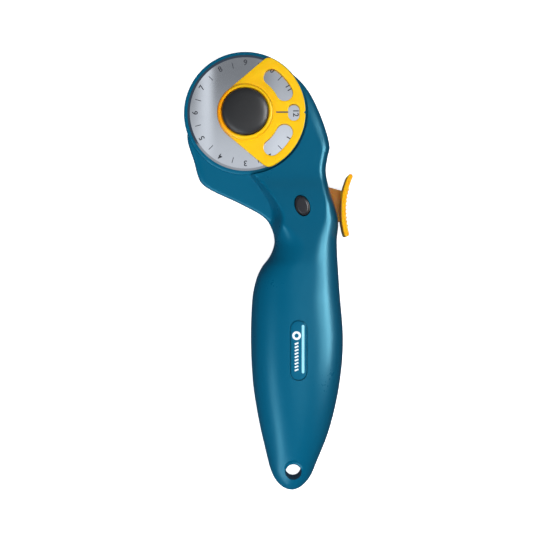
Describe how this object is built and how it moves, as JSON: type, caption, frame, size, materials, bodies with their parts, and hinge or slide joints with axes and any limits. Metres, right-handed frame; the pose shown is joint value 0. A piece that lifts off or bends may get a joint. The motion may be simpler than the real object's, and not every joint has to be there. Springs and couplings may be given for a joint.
{
  "type": "rotary paper trimmer",
  "caption": "Hand-held rotary trimmer with a round blade, fan-shaped guard cover, squeeze trigger, push lock and tapered grip with a hanging hole.",
  "frame": {"origin": "on the blade's axis, in the flat rear face of the head", "axes": "+Z out of the blade's side, +Y from the handle's tail to the head, +X towards the trigger"},
  "size_m": [0.0656, 0.171, 0.0229],
  "materials": {
    "casing": "satin moulded teal",
    "badge": "glossy teal with a printed stripe",
    "yellow": "satin moulded yellow",
    "knob": "soft black",
    "button": "satin black",
    "blade": "satin ground steel with printed marks",
    "fastener": "plated",
    "spring_steel": "bright drawn",
    "bush": "turned",
    "carrier": "moulded acetal",
    "ring": "moulded"
  },
  "bodies": {
    "casing": {"front_shell": "casing", "rear_shell": "casing", "badge_plate": "badge", "case_screw_head": "fastener", "case_screw_neck": "fastener", "case_screw_handle": "fastener", "case_screw_tail": "fastener", "trigger_pin": "fastener", "return_spring": "spring_steel"},
    "carrier": {"blade_carrier": "carrier", "axle_bolt": "fastener", "blade_bush": "bush", "blade_cover": "yellow"},
    "blade": {"cutter_blade": "blade"},
    "clamp": {"spring_washer": "spring_steel"},
    "knob": {"knob_cap": "knob", "knob_insert": "bush"},
    "trigger": {"trigger": "yellow", "drive_pin": "fastener"},
    "lock": {"lock_button": "button", "lock_ring": "ring"}
  },
  "joints": [
    {"name": "trigger_pull", "type": "hinge", "parent": "casing", "child": "trigger", "pos_m": [0.031, -0.042, 0.0101], "axis": [0, 0, 1], "range_deg": [0, 16.4]},
    {"name": "blade_slide", "type": "slide", "parent": "casing", "child": "carrier", "axis": [-1, 0, 0], "range_m": [0, 0.00498], "stiffness_N_per_m": 300, "springref_m": -0.004, "deforming": ["return_spring"]},
    {"name": "blade_spin", "type": "hinge", "parent": "carrier", "child": "blade", "pos_m": [0, 0, 0.0125], "axis": [0, 0, 1], "continuous": true},
    {"name": "clamp_lift", "type": "slide", "parent": "carrier", "child": "clamp", "axis": [0, 0, 1], "range_m": [0, 0.0032]},
    {"name": "knob_turn", "type": "hinge", "parent": "clamp", "child": "knob", "pos_m": [0, 0, 0.0173], "axis": [0, 0, 1], "range_deg": [0, 1441]},
    {"name": "lock_push", "type": "slide", "parent": "casing", "child": "lock", "axis": [0, 0, -1], "range_m": [0, 0.0024]}
  ],
  "couplings": [
    {"joint": "trigger_pull", "follows": "blade_slide", "rad_per_m": 57.504},
    {"joint": "knob_turn", "follows": "clamp_lift", "rad_per_m": 7854}
  ]
}
